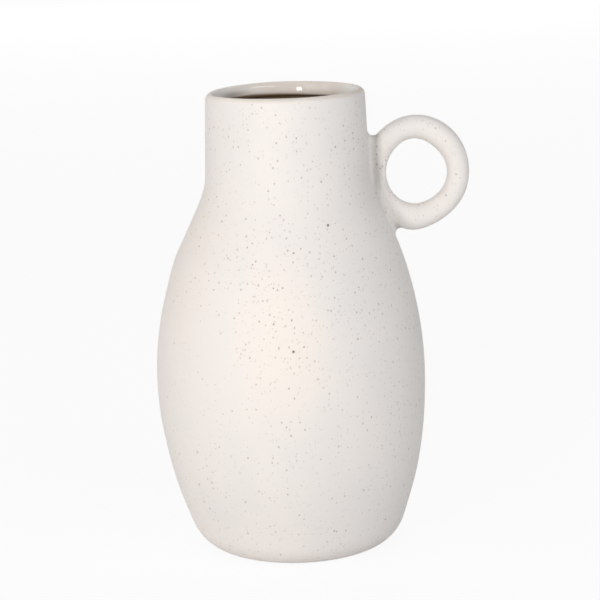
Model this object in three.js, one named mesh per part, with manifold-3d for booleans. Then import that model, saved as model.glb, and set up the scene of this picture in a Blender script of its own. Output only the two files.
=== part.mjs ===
// Stoneware vase with a straight neck, a thick rolled lip and one closed ring handle.
// Millimetres, +Z up. The vase stands on Z = 0 with its axis on the Z axis, and the
// ring handle lies in the XZ plane on the +X side.

import * as THREE from 'three';
import { mergeVertices } from 'three/addons/utils/BufferGeometryUtils.js';
import Module from 'manifold-3d';

const wasm = await Module();
wasm.setup();

// Rises of the outline, each from the station below it
const heelRise = 14.5; // rest face to the end of the rounded heel
const bellyRise = 78.1; // heel to the widest turn of the belly
const shoulderRise = 81.6; // widest turn to the straight of the shoulder
const rootRise = 29.1; // straight of the shoulder to the root of the neck
const neckRise = 44.3; // root of the neck to the glaze line under the lip
const lipCrown = 2.4; // glaze line to the crest of the lip

// Radii of the same stations
const footRadius = 44.5;
const heelRadius = 59.5;
const bellyRadius = 73.6;
const shoulderRadius = 55.6;
const neckTopRadius = 42.8;
const neckTaper = 1.6; // how much wider the neck is at its root
const rootRadius = neckTopRadius + neckTaper;

// The belly was thrown a little off the line of the foot and the neck, away from the handle.
const bellyDrift = 1.4;

// Lean of the wall from upright, and how far each curve keeps to its end directions
const heelLean = 18.0; // degrees, outwards
const shoulderLean = 23.6; // degrees, inwards
const heelPull = 0.69;
const lowerBellyPull = 0.56;
const upperBellyPull = 0.475;
const leaningPull = 0.18;
const shoulderPull = 0.26;

// Clay thickness, glaze coat included
const bodyWall = 5.6;
const neckWall = 4.2;
const floorThickness = 8.5;
const floorRound = 9; // radius where the wall turns into the floor

// Rolled lip
const lipThickness = 5.5; // outer face to the throat of the mouth
const crestInset = 2.6; // outer face to the circle of the crest
const lipRoll = 3.4; // crest down to where the throat stands upright
const lipFace = 3.0; // upright height of the throat
const lipUnderside = 1.7; // height of the turn back out to the neck's bore

// Joints and coat
const glazeThickness = 0.6;
const seamThickness = 1.0; // slip between the body and the neck section
const fitGap = 0.3; // clearance between curved faces that bear on each other

// Ring handle, a rolled coil that is thicker below than above
const holeWidth = 32.4;
const holeHeight = 35.2;
const holeLift = 0.7; // middle of the hole over the root of the neck
const coilSide = 12.4; // coil diameters
const coilTop = 13.0;
const coilBottom = 14.9;
const coilSink = 3.3; // how deep the coil is pressed into the neck wall
const filletRadius = 2.5; // hollow of the slip in the corner between coil and wall

// Facets
const turnSteps = 40; // round the vase
const wallSteps = 6; // along each curve of the wall
const roundSteps = 4; // along each curve of the lip and the floor
const coilSteps = 44; // along the ring
const coilSides = 14; // round the coil
const beadSteps = 40; // along the bead of slip
const beadSides = 6; // round the bead

const quarterPull = 0.5523; // makes a cubic curve a quarter of an ellipse

const heelHeight = heelRise;
const bellyHeight = heelHeight + bellyRise;
const shoulderHeight = bellyHeight + shoulderRise;
const rootHeight = shoulderHeight + rootRise;
const glazeLineHeight = rootHeight + neckRise;
const crestHeight = glazeLineHeight + lipCrown;
const seamLow = rootHeight - seamThickness / 2;
const seamHigh = rootHeight + seamThickness / 2;

// A point of an outline is its radius and its height.
function point(radius, height) {
  return new THREE.Vector2(radius, height);
}

// A climb by some height in a direction that leans outwards by an angle from upright.
function leaning(degrees, rise) {
  return point(rise * Math.tan(THREE.MathUtils.degToRad(degrees)), rise);
}

// Cubic curve that leaves one point along a vector and comes in to another along a vector.
function curve(from, out, to, into, steps) {
  const bezier = new THREE.CubicBezierCurve(from, from.clone().add(out), to.clone().sub(into), to);
  return bezier.getPoints(steps);
}

// Stretches of outline end to end: each starts on the last point of the one before.
function joined(...stretches) {
  return stretches.flatMap((stretch, index) => (index === 0 ? stretch : stretch.slice(1)));
}

// The outline moved to the right of its own direction, by a distance that may follow height.
function offset(outline, distanceAt) {
  return outline.map((here, index) => {
    const before = outline[Math.max(index - 1, 0)];
    const after = outline[Math.min(index + 1, outline.length - 1)];
    const along = after.clone().sub(before).normalize();
    return here.clone().addScaledVector(point(along.y, -along.x), distanceAt(here.y));
  });
}

// Place and direction of a rising outline where it passes a height
function passing(outline, height) {
  const found = outline.findIndex((each) => each.y >= height);
  const next = found < 0 ? outline.length - 1 : Math.max(found, 1);
  const start = outline[next - 1];
  const along = outline[next].clone().sub(start);
  const place = start.clone().addScaledVector(along, (height - start.y) / along.y);
  return { place, along: along.normalize() };
}

// A rising outline up to a height, and the same outline from a height on
function below(outline, height) {
  const lower = outline.slice(0, outline.findIndex((each) => each.y >= height));
  return [...lower, passing(outline, height).place];
}

function above(outline, height) {
  const upper = outline.slice(outline.findIndex((each) => each.y > height));
  return [passing(outline, height).place, ...upper];
}

// How far the wall stands off the axis at a height: most at the belly, none from the heel
// down and from the shoulder up
function driftAt(height) {
  const rise = height < bellyHeight ? bellyRise : shoulderRise;
  const share = Math.min(Math.abs(height - bellyHeight) / rise, 1);
  return bellyDrift * (1 - share ** 3) ** 2;
}

// Solid of revolution about Z. Its outline runs up the outer side and down the inner one.
function turned(outline) {
  const geometry = new THREE.LatheGeometry(outline, turnSteps);
  geometry.rotateX(Math.PI / 2);
  const place = geometry.getAttribute('position');
  for (let index = 0; index < place.count; index += 1) {
    place.setX(index, place.getX(index) - driftAt(place.getZ(index)));
  }
  return geometry;
}

// Solids that can be joined and cut, and back again.
function solidOf(geometry) {
  const bare = geometry.clone();
  bare.deleteAttribute('normal');
  bare.deleteAttribute('uv');
  const merged = mergeVertices(bare);
  const vertProperties = new Float32Array(merged.getAttribute('position').array);
  const triVerts = new Uint32Array(merged.index.array);
  return new wasm.Manifold(new wasm.Mesh({ numProp: 3, vertProperties, triVerts }));
}

// Closed ring-shaped solid, from its place at each step along it and each side round it
function looped(steps, sides, placeAt) {
  const torus = new THREE.TorusGeometry(2, 1, sides, steps);
  const place = torus.getAttribute('position');
  const share = torus.getAttribute('uv');
  for (let index = 0; index < place.count; index += 1) {
    const step = Math.round(share.getX(index) * steps) % steps;
    const side = Math.round(share.getY(index) * sides) % sides;
    place.setXYZ(index, ...placeAt(step, side));
  }
  return solidOf(torus);
}

function geometryOf(solid) {
  const mesh = solid.getMesh();
  const geometry = new THREE.BufferGeometry();
  geometry.setAttribute('position', new THREE.BufferAttribute(mesh.vertProperties, 3));
  geometry.setIndex(new THREE.BufferAttribute(mesh.triVerts, 1));
  geometry.computeVertexNormals();
  return geometry;
}

// Outside of the vase, from the edge of the foot up to the glaze line
const footEdge = point(footRadius, 0);
const heel = point(heelRadius, heelHeight);
const belly = point(bellyRadius, bellyHeight);
const shoulder = point(shoulderRadius, shoulderHeight);
const root = point(rootRadius, rootHeight);
const glazeLine = point(neckTopRadius, glazeLineHeight);
const neckDirection = glazeLine.clone().sub(root).divideScalar(neckRise);
const outside = joined(
  curve(
    footEdge,
    point((1 - heelPull) * (heelRadius - footRadius), 0),
    heel,
    leaning(heelLean, heelPull * heelRise),
    wallSteps,
  ),
  curve(
    heel,
    leaning(heelLean, leaningPull * bellyRise),
    belly,
    point(0, lowerBellyPull * bellyRise),
    wallSteps,
  ),
  curve(
    belly,
    point(0, upperBellyPull * shoulderRise),
    shoulder,
    leaning(-shoulderLean, leaningPull * shoulderRise),
    wallSteps,
  ),
  curve(
    shoulder,
    leaning(-shoulderLean, shoulderPull * rootRise),
    root,
    neckDirection.clone().multiplyScalar(shoulderPull * rootRise),
    wallSteps,
  ),
  [root, glazeLine],
);

// The wall's thickness goes from the body's to the neck's over the turn of the shoulder.
function wallAt(height) {
  const share = THREE.MathUtils.smoothstep(height, shoulderHeight, rootHeight);
  return THREE.MathUtils.lerp(bodyWall, neckWall, share);
}

// Finished inside, from the middle of the floor up the bore, over the lip to the glaze line
const throatRadius = neckTopRadius - lipThickness;
const throatTop = point(throatRadius, crestHeight - lipRoll);
const throatFoot = point(throatRadius, throatTop.y - lipFace);
const wallInside = offset(outside, (height) => -wallAt(height));
const boreWall = above(
  below(wallInside, throatFoot.y - lipUnderside),
  floorThickness + floorRound,
);
const boreFoot = boreWall.at(0);
const boreTop = boreWall.at(-1);
const floorEdge = point(boreFoot.x - floorRound, floorThickness);
const crest = point(neckTopRadius - crestInset, crestHeight);
const inside = joined(
  [point(0, floorThickness), floorEdge],
  curve(
    floorEdge,
    point(quarterPull * floorRound, 0),
    boreFoot,
    point(0, quarterPull * floorRound),
    roundSteps,
  ),
  boreWall,
  curve(
    boreTop,
    point(quarterPull * (throatRadius - boreTop.x), 0),
    throatFoot,
    point(0, quarterPull * lipUnderside),
    roundSteps,
  ),
  [throatFoot, throatTop],
  curve(
    throatTop,
    point(0, quarterPull * lipRoll),
    crest,
    point(quarterPull * (crest.x - throatRadius), 0),
    roundSteps,
  ),
  curve(
    crest,
    point(quarterPull * crestInset, 0),
    glazeLine,
    point(0, -quarterPull * lipCrown),
    roundSteps,
  ),
);

// The clay's own inside lies behind the coat and its clearance.
const clayInside = offset(inside, () => glazeThickness + fitGap);

// Body of the vase: floor, heel, belly and shoulder
function bodyPot() {
  const clayOutside = below(outside, seamLow);
  return turned([point(0, 0), ...clayOutside, ...below(clayInside, seamLow).reverse()]);
}

// Slip between the body and the neck section
function shoulderSlipSeam() {
  const clayOutside = above(below(outside, seamHigh), seamLow);
  const clayBore = above(below(clayInside, seamHigh), seamLow);
  return turned([...clayOutside, ...clayBore.reverse(), clayOutside[0]]);
}

// Neck section with its rolled lip, rebated above the glaze line for the coat
function neckCollar() {
  const clayOutside = above(below(outside, glazeLineHeight - fitGap), seamHigh);
  const claySkin = above(clayInside, seamHigh).reverse();
  const rebate = point(claySkin[0].x, glazeLineHeight - fitGap);
  return turned([...clayOutside, rebate, ...claySkin, clayOutside[0]]);
}

// Coat of glaze on the floor, the bore and the lip
function glazeLining() {
  const coatBack = offset(inside, () => glazeThickness);
  return turned([...coatBack, ...inside.toReversed()]);
}

// Everything within a distance of the vase's outside, down to the axis
function wallSolid(distance) {
  const skin = offset(outside, () => distance);
  return solidOf(turned([point(0, skin[0].y), ...skin, point(0, skin.at(-1).y)]));
}

// Point on the ring's coil: along is the angle round the hole, around the one round the coil.
// The coil is as thick as it is rolled plus an extra on its radius.
function coilPoint(along, around, extra) {
  const rise = Math.sin(along);
  const hole = point((holeWidth / 2) * Math.cos(along), (holeHeight / 2) * rise);
  const out = point(holeHeight * Math.cos(along), holeWidth * rise).normalize();
  const coilRadius = THREE.MathUtils.lerp(coilSide, rise > 0 ? coilTop : coilBottom, rise ** 2) / 2;
  const spot = hole.addScaledVector(out, coilRadius + (coilRadius + extra) * Math.cos(around));
  const middleX = rootRadius + coilSide - coilSink + holeWidth / 2;
  const middleZ = rootHeight + holeLift;
  const aside = -(coilRadius + extra) * Math.sin(around);
  return new THREE.Vector3(middleX + spot.x, aside, middleZ + spot.y);
}

// The whole ring of coil
function coil(extra) {
  const turn = 2 * Math.PI;
  return looped(coilSteps, coilSides, (step, side) =>
    coilPoint((turn * step) / coilSteps, (turn * side) / coilSides, extra),
  );
}

// The ring is pressed against the wall and takes the wall's shape there.
function ringHandle() {
  return geometryOf(coil(0).subtract(wallSolid(fitGap)));
}

// Direction straight out of the vase's outside at a place, and the place's distance from it
function outOfWall(place) {
  const { along } = passing(outside, place.z);
  return new THREE.Vector3(place.x, place.y, 0).setLength(along.y).setZ(-along.x);
}

function standOff(place) {
  const { place: wall, along } = passing(outside, place.z);
  return (Math.hypot(place.x, place.y) - wall.x) * along.y;
}

// Where a measure that is negative at one value and positive at another comes to nought
function crossing(measure, negative, positive) {
  const middle = (negative + positive) / 2;
  if (Math.abs(positive - negative) < 1e-6) {
    return middle;
  }
  return measure(middle) < 0
    ? crossing(measure, middle, positive)
    : crossing(measure, negative, middle);
}

// Place at the same distance from the coil and the wall, at a step of the way round their joint
function cornerPoint(step, distance) {
  const short = (place) => standOff(place) - distance;
  const outermost = (along) => short(coilPoint(along, 0, distance));
  const top = crossing(outermost, Math.PI, Math.PI / 2);
  const bottom = crossing(outermost, Math.PI, (3 * Math.PI) / 2);
  const turn = (2 * Math.PI * (step + 0.5)) / beadSteps;
  const along = THREE.MathUtils.lerp(top, bottom, (1 - Math.cos(turn)) / 2);
  const halfTurn = Math.sign(Math.sin(turn)) * Math.PI;
  const around = crossing((angle) => short(coilPoint(along, angle, distance)), 0, halfTurn);
  return { along, around, place: coilPoint(along, around, distance) };
}

// Section of the bead: the depth of the corner, then a hollow from the wall to the coil
function beadPoint(step, side) {
  if (side === 0) {
    return cornerPoint(step, 0).place;
  }
  const ball = cornerPoint(step, filletRadius);
  const toWall = outOfWall(ball.place).negate();
  const toCoil = coilPoint(ball.along, ball.around, 0).sub(ball.place).normalize();
  const share = (side - 1) / (beadSides - 2);
  const towards = toWall.lerp(toCoil, share).setLength(filletRadius);
  return ball.place.add(towards);
}

// The slip fills the corner all round the coil where it meets the wall.
function handleSlipBead() {
  const fill = looped(beadSteps, beadSides, beadPoint);
  return geometryOf(fill.subtract(wallSolid(fitGap)).subtract(coil(fitGap)));
}

const clay = { color: 0xe6e0d9, roughness: 0.92, metalness: 0 };
const slip = { color: 0xdcd5cc, roughness: 0.95, metalness: 0 };
const glaze = { color: 0xd8cdc0, roughness: 0.22, metalness: 0 };

function piece(name, geometry, finish) {
  const mesh = new THREE.Mesh(geometry, new THREE.MeshStandardMaterial(finish));
  mesh.name = name;
  return mesh;
}

const vessel = new THREE.Group();
vessel.add(piece('body_pot', bodyPot(), clay));
vessel.add(piece('shoulder_slip_seam', shoulderSlipSeam(), slip));
vessel.add(piece('neck_collar', neckCollar(), clay));
vessel.add(piece('glaze_lining', glazeLining(), glaze));

const handle = new THREE.Group();
handle.add(piece('ring_handle', ringHandle(), clay));
handle.add(piece('handle_slip_bead', handleSlipBead(), slip));

const vase = new THREE.Group();
vase.add(vessel, handle);

export default vase;
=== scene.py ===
import math

import bmesh
import bpy
import numpy as np
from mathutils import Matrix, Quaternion, Vector


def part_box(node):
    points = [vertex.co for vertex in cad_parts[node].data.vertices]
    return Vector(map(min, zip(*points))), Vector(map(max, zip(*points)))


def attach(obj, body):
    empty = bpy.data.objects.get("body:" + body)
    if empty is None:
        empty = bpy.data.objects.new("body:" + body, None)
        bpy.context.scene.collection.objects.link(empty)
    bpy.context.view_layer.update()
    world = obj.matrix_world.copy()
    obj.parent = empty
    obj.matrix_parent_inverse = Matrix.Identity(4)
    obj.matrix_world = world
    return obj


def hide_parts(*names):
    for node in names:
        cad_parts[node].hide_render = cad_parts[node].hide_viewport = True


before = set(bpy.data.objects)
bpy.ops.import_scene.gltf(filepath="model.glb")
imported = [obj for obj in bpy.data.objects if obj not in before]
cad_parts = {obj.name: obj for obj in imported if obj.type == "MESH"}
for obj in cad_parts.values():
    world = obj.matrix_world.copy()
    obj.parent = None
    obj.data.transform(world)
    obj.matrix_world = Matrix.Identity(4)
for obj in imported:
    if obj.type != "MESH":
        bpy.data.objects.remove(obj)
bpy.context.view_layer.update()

# The body
# The pot's floor, heel, belly and shoulder are one wall of pale stoneware, thrown on the wheel
# and trimmed at the heel. Its outside stays bare and shows the iron specks in the clay.
mm = 0.001
crest_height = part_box("glaze_lining")[1].z
seam_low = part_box("body_pot")[1].z
seam_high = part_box("neck_collar")[0].z
belly_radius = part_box("body_pot")[1].y
root_height = (seam_low + seam_high) / 2
heel_height = 14.5 * mm
belly_height = 92.6 * mm
shoulder_height = 174.2 * mm
roll_height = crest_height - 3.6 * mm  # where the lip starts to round on the outside
foot_radius = 44.5 * mm
heel_radius = 59.5 * mm
shoulder_radius = 55.6 * mm
root_radius = 44.4 * mm
neck_top_radius = 42.8 * mm
heel_lean = 18  # degrees outwards from upright
shoulder_lean = -23.6
# how far the curves of the outline keep the direction they have at a point, as shares of the
# stretch: two shares are for the curve below the point and for the one above it
foot_pull = 0.31
heel_pulls = 0.69, 0.18
belly_pulls = 0.56, 0.475
shoulder_pulls = 0.18, 0.26
root_pull = 0.26
quarter = 0.5523  # makes a cubic curve a quarter of an ellipse
body_wall = 5.6 * mm
neck_wall = 4.2 * mm
coat = 0.6 * mm  # glaze on the inside
floor_thickness = 8.5 * mm
floor_round = 9 * mm
belly_drift = 1.4 * mm
foot_drift = 0.6 * mm
rim_dip = 0.8 * mm  # the mouth sits a little lower on the side away from the ring
wave_depth = 0.05 * mm
# slow waves of the wall: how many go round, the climb of each, its start and its strength
waves = [(2, 31 * mm, 0, 1), (3, -19 * mm, 1.3, 0.7), (5, 12 * mm, 4.1, 0.5)]
flat_depth = 1.1 * mm  # a flatter place low down on the side away from the ring
flat_height = 52 * mm
flat_spread = 18 * mm
full_depth = 0.9 * mm  # and a fuller one at the shoulder
full_height = 160 * mm
full_spread = 8 * mm
even_radius = 20 * mm  # nearer to the axis the floor gets even
row_height = 1.2 * mm
floor_spacing = 11 * mm
turns = 256


def at(radius, height):
    """A point of an outline"""
    return np.array((radius, height), float)


def leaning(degrees, rise):
    """A climb by a height that leans outwards by an angle from upright"""
    return at(rise * math.tan(math.radians(degrees)), rise)


def curve(start, out, end, into, spacing=row_height):
    """Cubic curve that leaves start along out and comes in to end along into"""
    count = max(4, round(math.dist(start, end) / spacing))
    share = np.linspace(0, 1, count + 1)[:, None]
    left = 1 - share
    first, last = start + out, end - into
    return left**3 * start + 3 * left**2 * share * first + 3 * left * share**2 * last + share**3 * end


def joined(*stretches):
    """Stretches of outline end to end, each starting on the last point of the one before"""
    return np.concatenate([stretches[0], *(each[1:] for each in stretches[1:])])


def straight(start, end, spacing=row_height):
    count = max(1, round(math.dist(start, end) / spacing))
    return np.linspace(start, end, count + 1)


def moved_in(outline, distance):
    """The rising outline moved to its left, into the clay"""
    along = np.gradient(outline, axis=0)
    along /= np.linalg.norm(along, axis=1)[:, None]
    return outline + np.stack((-along[:, 1], along[:, 0]), 1) * np.reshape(distance, (-1, 1))


def between(outline, low, high):
    """The stretch of a rising outline from one height to another"""
    hair = 1e-4 * mm
    inner = outline[(outline[:, 1] > low + hair) & (outline[:, 1] < high - hair)]
    ends = [at(np.interp(height, outline[:, 1], outline[:, 0]), height) for height in (low, high)]
    return np.concatenate([ends[:1], inner, ends[1:]])


foot = at(foot_radius, 0)
heel = at(heel_radius, heel_height)
belly = at(belly_radius, belly_height)
shoulder = at(shoulder_radius, shoulder_height)
root = at(root_radius, root_height)
neck_top = at(neck_top_radius, roll_height)
heel_rise, belly_rise, shoulder_rise, root_rise = np.diff(
    (0, heel_height, belly_height, shoulder_height, root_height)
)
neck_direction = (neck_top - root) / (roll_height - root_height)
outside = joined(
    curve(foot, at(foot_pull * (heel_radius - foot_radius), 0),
          heel, leaning(heel_lean, heel_pulls[0] * heel_rise)),
    curve(heel, leaning(heel_lean, heel_pulls[1] * belly_rise),
          belly, at(0, belly_pulls[0] * belly_rise)),
    curve(belly, at(0, belly_pulls[1] * shoulder_rise),
          shoulder, leaning(shoulder_lean, shoulder_pulls[0] * shoulder_rise)),
    curve(shoulder, leaning(shoulder_lean, shoulder_pulls[1] * root_rise),
          root, neck_direction * root_pull * root_rise),
    straight(root, neck_top),
)


def smooth(value, low, high):
    """0 up to low, 1 from high on, with a soft start and end"""
    share = np.clip((value - low) / (high - low), 0, 1)
    return share * share * (3 - 2 * share)


def wall_thickness(heights):
    return body_wall + (neck_wall - body_wall) * smooth(heights, shoulder_height, root_height)


inside = moved_in(outside, wall_thickness(outside[:, 1]))
clay_inside = moved_in(inside, -coat)


def drift(heights):
    """How far the wall stands off the axis, away from the ring: it was thrown a little aside"""
    rise = np.where(heights < belly_height, belly_rise, shoulder_rise)
    share = np.minimum(np.abs(heights - belly_height) / rise, 1)
    return belly_drift * (1 - share**3) ** 2 - foot_drift * (1 - smooth(heights, 0, 2 * heel_height))


def swell(value, middle, width):
    """A soft hump: 1 at its middle, close to nought from two widths on"""
    return np.exp(-(((value - middle) / width) ** 2) / 2)


def opposite_ring(angles):
    """1 straight across from the ring, 0 on the ring's own half"""
    return np.maximum(-np.cos(angles), 0) ** 2


def unevenness(angles, heights):
    """What a wall keeps from the hands: slow waves, and two places on the side away from the ring"""
    wave = sum(
        strength * np.sin(folds * angles + heights / climb + start)
        for folds, climb, start, strength in waves
    )
    highest = sum(strength for *_, strength in waves)
    flat = flat_depth * swell(heights, flat_height, flat_spread) * opposite_ring(angles)
    full = full_depth * swell(heights, full_height, full_spread) * opposite_ring(angles)
    return wave_depth * (wave / highest - 1) - flat + full


def turned(outline):
    """Corners and faces of an outline that is swung once round the axis"""
    angles = np.linspace(0, 2 * math.pi, turns, endpoint=False)
    angle, radius = np.meshgrid(angles, outline[:, 0])
    height = np.repeat(outline[:, 1:], turns, axis=1)
    live = np.minimum(radius / even_radius, 1)
    radius = radius + unevenness(angle, height) * live
    dip = rim_dip * opposite_ring(angle) * smooth(height, root_height, crest_height)
    corners = np.stack(
        (radius * np.cos(angle) - drift(height) * live, radius * np.sin(angle), height - dip), -1
    )
    index = np.arange(corners.shape[0] * turns).reshape(-1, turns)
    after = np.roll(index, -1, axis=1)
    faces = np.stack((index[:-1], after[:-1], after[1:], index[1:]), -1)
    return corners.reshape(-1, 3), faces.reshape(-1, 4)


def made(name, corners, faces, material, sharp=35):
    """A piece from its corners and faces, smooth but for the edges that turn by more than sharp degrees"""
    same_place = 0.002 * mm
    mesh = bpy.data.meshes.new(name)
    mesh.from_pydata([tuple(each) for each in corners], [], [tuple(each) for each in faces])
    work = bmesh.new()
    work.from_mesh(mesh)
    bmesh.ops.remove_doubles(work, verts=work.verts, dist=same_place)
    bmesh.ops.recalc_face_normals(work, faces=work.faces)
    for face in work.faces:
        face.smooth = True
    for edge in work.edges:
        edge.smooth = edge.calc_face_angle(0) < math.radians(sharp)
    work.to_mesh(mesh)
    work.free()
    mesh.materials.append(material)
    piece = bpy.data.objects.new(name, mesh)
    bpy.context.scene.collection.objects.link(piece)
    return piece


class Shade:
    """One output of a shader node. A sum written with it adds the Math nodes that work it out."""

    def __init__(self, tree, socket=None):
        self.tree = tree
        self.socket = socket

    def node(self, kind, settings, sockets):
        """A new node of a kind: its settings come first, then the values or links of its sockets"""
        new = self.tree.nodes.new("ShaderNode" + kind)
        for name, setting in settings.items():
            setattr(new, name, setting)
        for name, given in sockets.items():
            free = (each for each in new.inputs if each.enabled and each.name == name)
            socket = new.inputs[name] if isinstance(name, int) else next(free)
            if isinstance(given, Shade):
                self.tree.links.new(given.socket, socket)
            else:
                socket.default_value = given
        return {each.name: Shade(self.tree, each) for each in new.outputs if each.enabled}

    def maths(self, operation, *terms):
        return self.node("Math", {"operation": operation}, dict(enumerate(terms)))["Value"]

    def __add__(self, other):
        return self.maths("ADD", self, other)

    def __sub__(self, other):
        return self.maths("SUBTRACT", self, other)

    def __mul__(self, other):
        return self.maths("MULTIPLY", self, other)

    def __rsub__(self, other):
        return self.maths("SUBTRACT", other, self)

    def __lt__(self, other):
        return self.maths("LESS_THAN", self, other)

    __radd__ = __add__
    __rmul__ = __mul__

    def at_least(self, other):
        """The larger of this value and another"""
        return self.maths("MAXIMUM", self, other)

    def at_most(self, other):
        """The smaller of this value and another"""
        return self.maths("MINIMUM", self, other)

    def without_sign(self):
        return self.maths("ABSOLUTE", self)

    def rising(self, low, high):
        """0 up to low, 1 from high on, with a soft start and end"""
        spread = {"Value": self, "From Min": low, "From Max": high}
        return self.node("MapRange", {"interpolation_type": "SMOOTHSTEP"}, spread)["Result"]

    def falling(self, low, high):
        """1 up to low, 0 from high on"""
        return 1 - self.rising(low, high)

    def mixed(self, first, second):
        """Colour between two, by this value"""
        return self.node("Mix", {"data_type": "RGBA"}, {"Factor": self, "A": first, "B": second})["Result"]

    def stretched(self, x, y, z):
        return self.node("VectorMath", {"operation": "MULTIPLY"}, {0: self, 1: (x, y, z)})["Vector"]

    def away_from(self, there, shape=(1, 1, 1)):
        """Distance of this place from another, in which each direction counts by its share of the shape"""
        places = {0: self.stretched(*shape), 1: tuple(part * share for part, share in zip(there, shape))}
        return self.node("VectorMath", {"operation": "DISTANCE"}, places)["Value"]

    def parts(self):
        """This place's X, Y and Z, by name"""
        return self.node("SeparateXYZ", {}, {"Vector": self})

    def noise(self, size, detail=2.0):
        """Cloudy value round a half, with lumps of that size"""
        cloud = {"Vector": self, "Scale": 1 / size, "Detail": detail}
        return self.node("TexNoise", {}, cloud)["Fac"]

    def cells(self, size):
        """Random scatter of points, one to each cell of that size: distance to the nearest, and its lot"""
        scatter = self.node("TexVoronoi", {}, {"Vector": self, "Scale": 1 / size})
        lot = self.node("SeparateColor", {}, {"Color": scatter["Color"]})
        return scatter["Distance"] * size, lot

    def bumped(self, depth):
        """Normal of a surface that this value raises by up to a depth"""
        return self.node("Bump", {}, {"Height": self * depth, "Distance": 1.0})["Normal"]


def colour(red, green, blue):
    """Colour as it is written on a colour card, 0 to 255"""
    def light(part):
        share = part / 255
        return share / 12.92 if share < 0.04045 else ((share + 0.055) / 1.055) ** 2.4

    return (light(red), light(green), light(blue), 1.0)


def finish(name):
    """A new finish: its surface, and the place on the piece that its patterns follow"""
    material = bpy.data.materials.new(name)
    material.use_nodes = True
    material.node_tree.nodes.clear()
    start = Shade(material.node_tree)
    place = start.node("TexCoord", {}, {})["Object"]
    return material, place


def surfaced(place, sockets):
    """Ends a finish in the surface with those sockets"""
    surface = place.node("BsdfPrincipled", {}, sockets)["BSDF"]
    place.node("OutputMaterial", {}, {"Surface": surface})


clay_pale = colour(242, 235, 229)
clay_grey = colour(239, 233, 228)
flush_and_sheen = colour(247, 237, 228)
# painted shade: grey that darkens the wall round the ring's joint
joint_shade_grey = colour(222, 218, 215)
matt_specular = 0.35
speck_faint = colour(201, 176, 160)
speck_cool = colour(188, 174, 168)  # on the side of the ring
speck_brown = colour(158, 124, 106)
speck_dark = colour(96, 68, 52)
speck_bend = 0.6 * mm  # how far the specks are pushed out of round
speck_bend_size = 1.1 * mm
flock_place = (2 * mm, -64 * mm, 150 * mm)  # where the specks stand closest
bare_place = (-66 * mm, -30 * mm, 105 * mm)  # where they are fewest
bold_spots = [(20.3 * mm, -46.8 * mm, 184.3 * mm), (0.3 * mm, -71 * mm, 123.2 * mm)]
bold_strength = 0.9
tall = (1, 1, 0.5)  # the flushes are twice as tall as wide
# the front flush is partly a warm tint in the clay and partly a painted sheen
front_flush_and_sheen = (-5 * mm, -70 * mm, 128 * mm)
side_flush = (-60 * mm, -24 * mm, 150 * mm)
joint_place = (44 * mm, 0, 203 * mm)


def scattered(place, cell, share, heart, rim, weakest, spread):
    """Specks in a share of the cells, full up to the heart, gone at the rim, each of its own strength"""
    distance, lot = place.cells(cell)
    return (lot["Red"] < share) * distance.falling(heart, rim) * (weakest + spread * lot["Green"])


def specked(place, ground):
    """The ground colour with iron specks in it, and where the brown and dark ones lie"""
    wavy = place.node("VectorMath", {"operation": "MULTIPLY_ADD"}, {
        0: place.node("TexNoise", {}, {"Vector": place, "Scale": 1 / speck_bend_size})["Color"],
        1: (speck_bend,) * 3,
        2: place,
    })["Vector"]
    flock = place.away_from(flock_place).falling(18 * mm, 62 * mm)
    bare = place.away_from(bare_place).falling(35 * mm, 75 * mm)
    crowd = 0.45 + 0.55 * flock - 0.35 * bare + (place.noise(12 * mm) - 0.5) * 1.2
    faint = scattered(wavy, cell=1.7 * mm, share=0.18 + 0.5 * crowd,
                      heart=0.1 * mm, rim=0.56 * mm, weakest=0.15, spread=0.5)
    brown = scattered(wavy.stretched(1, 1, 0.8), cell=2.5 * mm, share=0.8 * crowd,
                      heart=0.18 * mm, rim=0.68 * mm, weakest=0.2, spread=0.5)
    dark = scattered(wavy, cell=9.3 * mm, share=0.4 * crowd,
                     heart=0.3 * mm, rim=0.6 * mm, weakest=0.5, spread=0.4)
    ringward = place.parts()["X"].rising(-10 * mm, 40 * mm)
    ground = faint.mixed(ground, ringward.mixed(speck_faint, speck_cool))
    ground = brown.mixed(ground, speck_brown)
    for spot in bold_spots:
        dark = dark.at_least(bold_strength * place.away_from(spot).falling(0.35 * mm, 0.95 * mm))
    return dark.mixed(ground, speck_dark), brown.at_least(dark)


def clay_ground(place):
    """The clay's colour: nearly even, warmer in two places; the front one is partly a painted sheen"""
    ground = place.noise(46 * mm, 3.0).rising(0.4, 0.64).mixed(clay_pale, clay_grey)
    ragged = place.noise(15 * mm, 3.0) * (20 * mm)
    front = (place.away_from(front_flush_and_sheen, tall) + ragged).falling(16 * mm, 46 * mm)
    side = (place.away_from(side_flush, tall) + ragged).falling(26 * mm, 56 * mm)
    return (0.9 * front.at_least(0.6 * side)).mixed(ground, flush_and_sheen)


def clay_surface(place, ground):
    """Matt clay of a ground colour, with its specks, its fine tooth and the marks of turning"""
    ground, specks = specked(place, ground)
    tooth = place.noise(0.5 * mm, 3.0)
    skin = place.noise(7 * mm, 2.0)
    turning = place.stretched(0.12, 0.12, 1).noise(3.2 * mm, 2.0)
    surfaced(place, {
        "Base Color": ground,
        "Roughness": 0.74 + 0.12 * skin - 0.2 * specks,
        "Specular IOR Level": matt_specular,
        "Normal": (tooth * 0.25 + skin * 0.6 + turning * 0.35 - specks * 0.2).bumped(0.12 * mm),
    })


def ground_with_joint_shade(place):
    """The clay's colour on the wall, greyed round the ring's joint by painted shade"""
    joint = place.away_from(joint_place) + place.noise(15 * mm, 3.0) * (20 * mm)
    joint_shade = joint.falling(22 * mm, 54 * mm)
    return (0.42 * joint_shade).mixed(clay_ground(place), joint_shade_grey)


bare_clay, place = finish("bare_clay")
clay_surface(place, ground_with_joint_shade(place))

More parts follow.
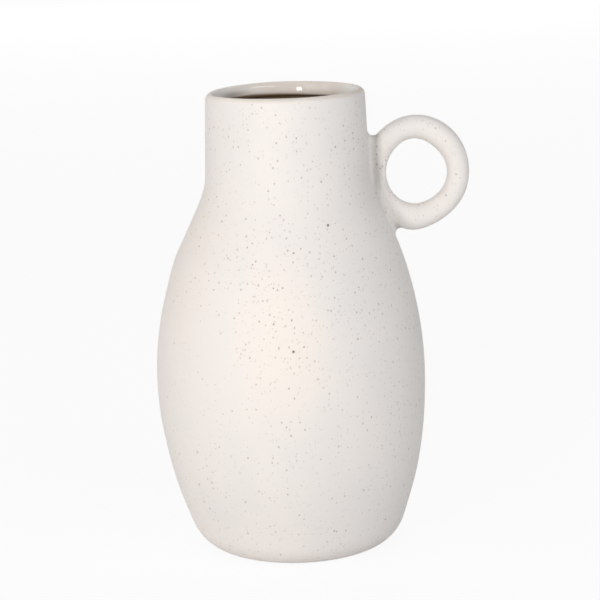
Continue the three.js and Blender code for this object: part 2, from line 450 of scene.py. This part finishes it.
body_outside = between(outside, 0, seam_low)
clay_wall = between(clay_inside, floor_thickness + floor_round, seam_low)
clay_floor = at(0, floor_thickness - coat)
floor_edge = at(clay_wall[0][0] - floor_round, clay_floor[1])
corner = curve(floor_edge, at(quarter * floor_round, 0), clay_wall[0], at(0, quarter * floor_round))
body_outline = joined(
    straight(at(0, 0), foot, floor_spacing),
    body_outside,
    straight(body_outside[-1], clay_wall[-1]),
    clay_wall[::-1],
    corner[::-1],
    straight(floor_edge, clay_floor, floor_spacing),
)
body = made("thrown_body", *turned(body_outline), bare_clay)
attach(body, "root")
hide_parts("body_pot")

# The seam
# Body and neck were thrown apart and joined with a ring of slip, the same clay mixed to a cream.
# It was sponged flush and fired to the same colour, so nothing but the change of line tells it.
seam_outside = between(outside, seam_low, seam_high)
seam_inside = between(clay_inside, seam_low, seam_high)
seam_outline = joined(
    seam_outside,
    straight(seam_outside[-1], seam_inside[-1]),
    seam_inside[::-1],
    straight(seam_inside[0], seam_outside[0]),
)
seam = made("slip_seam", *turned(seam_outline), bare_clay)
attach(seam, "root")
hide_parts("shoulder_slip_seam")

# The neck
# A slightly tapering ring of the same stoneware, thrown by itself and set on the shoulder. Its
# upper edge is rolled over to a thick lip. The glaze comes over the crest and ends just outside.
lip_thickness = 5.5 * mm
crest_inset = 2.9 * mm
lip_face = 6.4 * mm
lip_underside = 1.7 * mm
lip_coat = 0.3 * mm
glaze_reach = 2.4 * mm  # how far below the crest the glaze ends outside
lip_spacing = 0.35 * mm
bore_skip = 3  # points left out at the turn into the bore, where the coat gets thicker

throat_radius = neck_top_radius - lip_thickness
throat_foot = at(throat_radius, crest_height - lip_face)
crest = at(neck_top_radius - crest_inset, crest_height)
bore_top = between(inside, root_height, throat_foot[1] - lip_underside)[-1]
outer_lip = curve(crest, at(quarter * crest_inset, 0), neck_top,
                  at(0, -quarter * (crest_height - roll_height)), lip_spacing)
lip = joined(
    curve(bore_top, at(quarter * (throat_radius - bore_top[0]), 0), throat_foot,
          at(0, quarter * lip_underside), lip_spacing),
    curve(throat_foot, at(0, quarter * lip_face), crest,
          at(quarter * (crest[0] - throat_radius), 0), lip_spacing),
    outer_lip,
)
glazed_to = len(lip) - np.count_nonzero(outer_lip[:, 1] < crest_height - glaze_reach)
glaze_on_lip = np.full(len(lip), lip_coat)
glaze_on_lip[-len(outer_lip):] *= 1 - smooth(crest_height - outer_lip[:, 1], 0, glaze_reach)
clay_lip = moved_in(lip, -glaze_on_lip)
clay_bore = between(clay_inside, seam_high, bore_top[1])
neck_outside = between(outside, seam_high, roll_height)
neck_outline = joined(
    neck_outside,
    clay_lip[::-1][:-bore_skip],
    clay_bore[::-1],
    straight(clay_bore[0], neck_outside[0]),
)
neck = made("thrown_neck", *turned(neck_outline), bare_clay)
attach(neck, "root")
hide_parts("neck_collar")

# The glaze
# Greige glaze, poured in and out again. It coats the floor and the bore, turns over the lip and
# thins out on the bare clay just outside the crest. Deep in the throat its colour turns umber.
glaze_pale = colour(234, 222, 211)
glaze_full = colour(228, 215, 203)
glaze_crest = colour(234, 225, 214)
painted_light_aside = colour(246, 237, 227)  # painted light: the lip's inside is lighter towards the side away from the ring
bare_ends_and_painted_light = colour(252, 247, 242)  # inside the lip, at the ring's side and across from it: the paler bare clay where the glaze stops, lightened further as painted light against the shade there
umber = colour(108, 88, 66)
umber_slope = 0.03  # how fast the umber's edge sinks towards the ring
shade_tongue_place = (-28.5 * mm, 23.5 * mm, 244.9 * mm)  # painted shade: a soft tongue of umber reaching up the lip's inside
shade_tongue_shape = (0.4, 0.4, 2)
coat_share = 0.9  # the coat's back stops just short of the clay
glaze_floor_spacing = 4 * mm

glaze, place = finish("greige_glaze")
across = place.parts()
aside = (across["X"] * (-1 / neck_top_radius)).at_least(0)
level = across["Z"] + aside * aside * rim_dip
outward = place.away_from((0, 0, 0), (1, 1, 0))
cloud = place.noise(14 * mm, 3.0)
fired = cloud.rising(0.35, 0.7).mixed(glaze_pale, glaze_full)
fired = (level.rising(crest_height - 3 * mm, crest_height) * 0.5).mixed(fired, glaze_crest)
ragged = level + place.noise(2.5 * mm) * (0.5 * mm)
thin = ragged.falling(crest_height - glaze_reach + 0.2 * mm, crest_height - 0.1 * mm)
thin = thin * outward.rising(crest[0] + 0.5 * mm, crest[0] + 1.6 * mm)
ends = across["X"].without_sign().rising(26 * mm, 37 * mm)
inner_face = outward.falling(crest[0] - 1.4 * mm, crest[0])
fired = across["X"].falling(-38 * mm, 0).mixed(fired, painted_light_aside)
fired = (ends * inner_face).mixed(fired, bare_ends_and_painted_light)
fired = thin.mixed(fired, clay_pale)
umber_top = throat_foot[1] + 0.2 * mm - across["X"] * umber_slope
below_lip = (level + cloud * (0.8 * mm) - umber_top).falling(-0.8 * mm, 1.0 * mm)
shade_tongue = place.away_from(shade_tongue_place, shade_tongue_shape).falling(0, 7 * mm)
fired = below_lip.at_least(0.5 * shade_tongue).mixed(fired, umber)
uneven = (cloud + place.noise(3 * mm, 1.0) * 0.1).bumped(0.04 * mm)
glossy = place.node("BsdfPrincipled", {}, {
    "Base Color": fired,
    "Roughness": 0.05 + 0.04 * cloud,
    "Normal": uneven,
})["BSDF"]
matt = place.node("BsdfPrincipled", {}, {
    "Base Color": fired,
    "Roughness": 0.7 + 0.1 * cloud,
    "Specular IOR Level": matt_specular,
    "Normal": uneven,
})["BSDF"]
dry = thin.at_least(ends).at_least(0.6 * below_lip)
both = place.node("MixShader", {}, {"Fac": dry, 1: glossy, 2: matt})["Shader"]
place.node("OutputMaterial", {}, {"Surface": both})

bore = between(inside, floor_thickness + floor_round, bore_top[1])
glaze_floor_edge = at(bore[0][0] - floor_round, floor_thickness)
finished = joined(
    straight(at(0, floor_thickness), glaze_floor_edge, glaze_floor_spacing),
    curve(glaze_floor_edge, at(quarter * floor_round, 0), bore[0], at(0, quarter * floor_round)),
    bore,
    lip[:glazed_to],
)
thickness = np.full(len(finished), coat)
thickness[-glazed_to:] = glaze_on_lip[:glazed_to]
backs = moved_in(finished, -coat_share * thickness)
coat_piece = made("glaze_coat", *turned(joined(finished, backs[::-1], finished[:1])), glaze)
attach(coat_piece, "root")
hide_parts("glaze_lining")

# The ring
# A coil of the same clay, rolled by hand and closed to a ring for a finger. It is thickest below,
# a little flat inside at the upper right, and pressed against the neck and the shoulder.
ring_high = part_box("ring_handle")[1]
hole_width = 32.4 * mm
hole_height = 35.2 * mm
coil_side = 12.1 * mm
coil_top = 12.85 * mm
coil_bottom = 14.5 * mm
room_above = 0.4 * mm  # for the uneven places, below the top of the solid ring
ring_middle = Vector((
    ring_high.x - coil_side - hole_width / 2,
    0,
    ring_high.z - room_above - coil_top - hole_height / 2,
))
coil_steps = 220
coil_sides = 64
# where the hands left the ring uneven: degrees round the hole from the right, how far the place
# spreads, and by how many millimetres the edge of the hole and the outside stand further out
uneven_places = [
    (25, 40, 0, -0.38),
    (48, 24, -1.2, 0),
    (104, 18, 0.6, 0.3),
    (139, 10, 0, 0.9),
    (188, 24, 0, -5.3),
    (200, 50, 0.65, 0),
    (262, 10, 0, 0.6),
    (298, 22, -0.8, -1.9),
]
joint_degrees = 188  # where the coil is pressed narrow at the joint
joint_spread = 35
joint_narrowing = 0.2


def degrees_from(middle, along):
    """How far round the hole an angle is from a place given in degrees"""
    return (math.degrees(along) - middle + 180) % 360 - 180


def coil_point(along, around):
    """Place on the coil: along is the angle round the hole, around the one round the coil"""
    rise, reach = math.sin(along), math.cos(along)
    out = Vector((hole_height * reach, 0, hole_width * rise)).normalized()
    other = coil_top if rise > 0 else coil_bottom
    thick = coil_side + (other - coil_side) * rise**2
    edge = 0
    for middle, spread, inner, outer in uneven_places:
        hump = mm * swell(degrees_from(middle, along), 0, spread)
        edge += inner * hump
        thick += (outer - inner) * hump
    hole = Vector((hole_width / 2 * reach, 0, hole_height / 2 * rise))
    spot = hole + out * (edge + thick / 2 * (1 + math.cos(around)))
    flat = 1 - joint_narrowing * swell(degrees_from(joint_degrees, along), 0, joint_spread)
    return ring_middle + spot + Vector((0, -thick / 2 * flat * math.sin(around), 0))


def wall_at(height):
    """Radius of the outside at a height, and the cosine and sine of its lean"""
    radius = np.interp(height, outside[:, 1], outside[:, 0])
    above = np.interp(height + mm, outside[:, 1], outside[:, 0])
    lean = math.atan2(above - radius, mm)
    return radius, math.cos(lean), math.sin(lean)


def stand_off(place):
    """Distance of a place out of the wall, less than nought inside it"""
    radius, upright, _ = wall_at(place.z)
    return (math.hypot(place.x, place.y) - radius) * upright


def out_of_wall(place):
    """Direction straight out of the wall at a place"""
    _, upright, lean = wall_at(place.z)
    flat = Vector((place.x, place.y, 0)).normalized() * upright
    return flat - Vector((0, 0, lean))


def looped(steps, sides, place_at):
    """Corners and faces of a closed ring, from its place at each step along it and each side round it"""
    corners = [place_at(step, side) for step in range(steps) for side in range(sides)]
    faces = [
        (
            step * sides + side,
            step * sides + (side + 1) % sides,
            (step + 1) % steps * sides + (side + 1) % sides,
            (step + 1) % steps * sides + side,
        )
        for step in range(steps)
        for side in range(sides)
    ]
    return corners, faces


def pressed(step, side):
    """Place on the coil, flattened where the wall is in its way"""
    place = coil_point(2 * math.pi * step / coil_steps, 2 * math.pi * side / coil_sides)
    depth = stand_off(place)
    return place - out_of_wall(place) * min(depth, 0)


# painted shade: the grey of the crease between the ring and the wall
crease_shade_grey = colour(190, 187, 183)
joint_radius = 44 * mm  # of the neck's wall at the joint
joint_flare = 15.3 * mm  # how much wider the wall is at the foot of its flare
flare_low = 164 * mm
flare_high = 194 * mm
shade_height = 202 * mm  # where the painted shade reaches furthest out on the coil
shade_spread = 1.2 * mm
under_shade_height = 188 * mm  # the ring's underside at the joint, where painted shade darkens the coil
# the specks of the joint: millimetres towards the ring and up
joint_spots = [(48.1, 218.4), (48.1, 214.1), (48.1, 208.6), (51.2, 207.4), (50.1, 206.4)]
spot_strength = 0.5
upward = (0, 0, 1)  # only the height counts


def off_wall(place):
    """Roughly how far the place is out of the wall, at the heights of the ring's joint"""
    flare = joint_flare * place.parts()["Z"].falling(flare_low, flare_high)
    return place.away_from((0, 0, 0), (1, 1, 0)) - flare - joint_radius


def spotted(place, ground):
    """The dark specks that the sponge drew together along the joint"""
    for out, height in joint_spots:
        spot = place.away_from((out * mm, 0, height * mm), (1, 0, 1)).falling(0.2 * mm, 0.7 * mm)
        ground = (spot_strength * spot).mixed(ground, speck_dark)
    return ground


# painted shade: the coil greys near the wall, furthest out at the middle of the joint and under the ring
ring_clay_painted_shade, place = finish("ring_clay_painted_shade")
widest = place.away_from((0, 0, shade_height), upward).falling(3 * mm, 18 * mm)
reach = off_wall(place) - widest * shade_spread + place.noise(5 * mm) * (2 * mm) - 1 * mm
coil_shade = reach.falling(2.6 * mm, 8.6 * mm)
under_shade = place.away_from((0, 0, under_shade_height), upward).falling(8 * mm, 19 * mm)
under_shade = under_shade * off_wall(place).falling(7 * mm, 15 * mm)
coil_shade = coil_shade.at_least(0.55 * under_shade)
clay_surface(place, spotted(place, coil_shade.mixed(clay_ground(place), crease_shade_grey)))
ring = made("rolled_ring", *looped(coil_steps, coil_sides, pressed), ring_clay_painted_shade, sharp=60)
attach(ring, "root")
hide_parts("ring_handle")

# The slip bead
# Slip fills the corner all round the ring where it meets the wall, and was wiped to a hollow with
# a wet sponge, which left small ridges and drew a few dark specks together.
bead_hollow = 3.0 * mm
top_widening = 0.2 * mm
bead_steps = 240
bead_sides = 22
back_points = 5
bead_sink = 0.05 * mm
bead_depth = 0.6 * mm
bead_foot = 186 * mm  # the lower end of the joint, where the painted shade in the slip is weakest

slip_and_shade, place = finish("sponged_slip_and_shade")
ridges = place.stretched(0.3, 0.3, 1).noise(1.0 * mm, 3.0)
# painted shade: the slip darkens from the wall into the crease, least at the lower end
ground = (off_wall(place) + place.noise(4 * mm) * (1 * mm)).rising(1 * mm, 4.5 * mm)
ground = ground * (0.35 + 0.5 * place.away_from((0, 0, bead_foot), upward).rising(4 * mm, 14 * mm))
ground = (ridges.rising(0.5, 0.75) * 0.25 + ground).mixed(ground_with_joint_shade(place), crease_shade_grey)
ground, specks = specked(place, ground)
surfaced(place, {
    "Base Color": spotted(place, ground),
    "Roughness": 0.8 + 0.1 * ridges,
    "Specular IOR Level": matt_specular,
    "Normal": (ridges + place.noise(0.5 * mm, 3.0) * 0.3).bumped(0.2 * mm),
})


def crossing(measure, negative, positive):
    """Where a measure that is negative at one value and positive at another comes to nought"""
    halvings = 40
    for _ in range(halvings):
        middle = (negative + positive) / 2
        if measure(middle) < 0:
            negative = middle
        else:
            positive = middle
    return middle


def off_coil(along, around, distance):
    """Place straight out of the coil's surface, at a distance from it"""
    turned_by = 1e-4
    here = coil_point(along, around)
    beside = coil_point(along, around + turned_by) - here
    ahead = coil_point(along + turned_by, around) - here
    return here + ahead.cross(beside).normalized() * distance


def turn_at(step):
    """The angle of a step of the way round the joint, from its top"""
    return 2 * math.pi * (step + 0.5) / bead_steps


def corner_point(step, distance):
    """Place at the same distance from the coil and the wall, at a step of the way round their joint"""
    def short(along, around):
        return stand_off(off_coil(along, around, distance)) - distance

    top = crossing(lambda along: short(along, 0), math.pi, math.pi / 2)
    bottom = crossing(lambda along: short(along, 0), math.pi, 3 * math.pi / 2)
    turn = turn_at(step)
    along = top + (bottom - top) * (1 - math.cos(turn)) / 2
    half_turn = math.copysign(math.pi, math.sin(turn))
    around = crossing(lambda around: short(along, around), 0, half_turn)
    return along, around, off_coil(along, around, distance)


def bead_section(step):
    """A hollow from the wall to the coil, widest at the top, then its back in the corner"""
    distance = bead_hollow + top_widening * max(0, math.cos(turn_at(step))) ** 4
    along, around, ball = corner_point(step, distance)
    to_wall = -out_of_wall(ball)
    to_coil = (coil_point(along, around) - ball).normalized()
    opening = to_wall.angle(to_coil)
    hollow = [
        ball + to_wall.slerp(to_coil, share) * (distance + bead_sink * abs(2 * share - 1) ** 4)
        for share in np.linspace(0, 1, bead_sides - back_points)
    ]
    back = []
    for share in np.linspace(1, 0, back_points + 2)[1:-1]:
        clay = (distance + bead_sink) / math.cos(min(share, 1 - share) * opening)
        back.append(ball + to_wall.slerp(to_coil, share) * min(distance + bead_depth, clay))
    return [*hollow, *back]


sections = [bead_section(step) for step in range(bead_steps)]
bead_mesh = looped(bead_steps, bead_sides, lambda step, side: sections[step][side])
bead = made("ring_slip", *bead_mesh, slip_and_shade, sharp=60)
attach(bead, "root")
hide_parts("handle_slip_bead")

# The studio
# A white table under a soft sky that darkens to the right. Big soft lamps stand by the camera, at
# each side and behind, a narrow bright one by the camera, a strip high on the right and a cool one
# beyond, all set so that a colour comes out about as it is written.
sky = 0.3
dark_sky = 0.08  # to the right of the vase
table_reach = 9.0
table_glow = 0.9
white = (1, 1, 1, 1)


def looked_at_directly(place):
    """1 for what the camera sees, also in a shine, and 0 for the light that falls on other things"""
    ray = place.node("LightPath", {}, {})
    return (ray["Is Camera Ray"] + ray["Is Glossy Ray"] + ray["Is Transmission Ray"]).at_most(1.0)


table, place = finish("white_table")
direct = looked_at_directly(place)
glow = place.node("Emission", {}, {"Color": white, "Strength": 1.0})["Emission"]
paper = place.noise(0.6, 2.0).mixed(colour(228, 228, 228), colour(233, 233, 233))
paper = direct.mixed(paper, colour(253, 253, 253))
matt = place.node("BsdfDiffuse", {}, {"Color": paper})["BSDF"]
both = place.node("MixShader", {}, {"Fac": direct * table_glow, 1: matt, 2: glow})["Shader"]
place.node("OutputMaterial", {}, {"Surface": both})
corners = [(x * table_reach, y * table_reach, 0) for x, y in ((-1, -1), (1, -1), (1, 1), (-1, 1))]
floor = bpy.data.meshes.new("table")
floor.from_pydata(corners, [], [(0, 1, 2, 3)])
floor.materials.append(table)
tabletop = bpy.data.objects.new("table", floor)
bpy.context.scene.collection.objects.link(tabletop)

world = bpy.data.worlds.new("sky")
world.use_nodes = True
world.node_tree.nodes.clear()
start = Shade(world.node_tree)
way = start.node("TexCoord", {}, {})["Generated"]
light_sky, shaded_sky, white_sky = [
    start.node("Background", {}, {"Color": white, "Strength": strength})["Background"]
    for strength in (sky, dark_sky, 1.0)
]
right = way.parts()["X"].rising(0.2, 0.9)
room = start.node("MixShader", {}, {"Fac": right, 1: light_sky, 2: shaded_sky})["Shader"]
room = start.node("MixShader", {}, {"Fac": looked_at_directly(start), 1: room, 2: white_sky})["Shader"]
start.node("OutputWorld", {}, {"Surface": room})
bpy.context.scene.world = world


def lamp(name, azimuth, elevation, distance, width, height, radiance, tint):
    """A soft lamp that faces the vase, azimuth degrees to the right of the camera"""
    light = bpy.data.lights.new(name, "AREA")
    light.shape = "RECTANGLE"
    light.size, light.size_y = width, height
    light.energy = radiance * math.pi * width * height
    light.color = tint
    turn, lift = math.radians(azimuth), math.radians(elevation)
    away = Vector((math.sin(turn) * math.cos(lift), -math.cos(turn) * math.cos(lift), math.sin(lift)))
    holder = bpy.data.objects.new(name, light)
    holder.location = Vector((0, 0, crest_height / 2)) + away * distance
    holder.rotation_mode = "QUATERNION"
    holder.rotation_quaternion = away.to_track_quat("Z", "Y")
    bpy.context.scene.collection.objects.link(holder)
    return holder


# degrees aside and up, metres away, metres wide and high, brightness and tint
plain = (1.0, 1.0, 1.0)
cool = (0.4, 0.7, 1.0)
lamp("tall_lamp", -25.2, 16, 1.7, 0.26, 0.6, 12.5, plain)
lamp("front_lamp", -10, 8, 1.9, 1.6, 1.6, 0.73, plain)
lamp("left_lamp", -59, 15, 2.0, 1.6, 1.8, 1.34, plain)
lamp("right_lamp", 40, 15, 2.0, 1.5, 1.8, 1.06, plain)
lamp("high_lamp", 40, 36, 1.9, 1.45, 0.16, 5.0, plain)
lamp("side_lamp", 75, 15, 2.0, 1.6, 1.8, 0.34, cool)
back_lamp = lamp("back_lamp", 180, 20, 4.5, 4.0, 1.9, 2.8, plain)
back_lamp.visible_glossy = False  # it fills the far side, without a shine along the crest of the lip

eye = Vector((0, -1.1, 0.376468))
looked_at = Vector((0.00472484, 0, 0.1347075))
roll = -0.0304658  # radians
camera_data = bpy.data.cameras.new("camera")
camera_data.sensor_width = 36
camera_data.lens = 123.74
camera = bpy.data.objects.new("camera", camera_data)
camera.rotation_mode = "QUATERNION"
camera.location = eye
unrolled = (looked_at - eye).to_track_quat("-Z", "Y")
camera.rotation_quaternion = unrolled @ Quaternion((0, 0, 1), roll)
bpy.context.scene.collection.objects.link(camera)
bpy.context.scene.camera = camera
bpy.context.scene.view_settings.view_transform = "Standard"
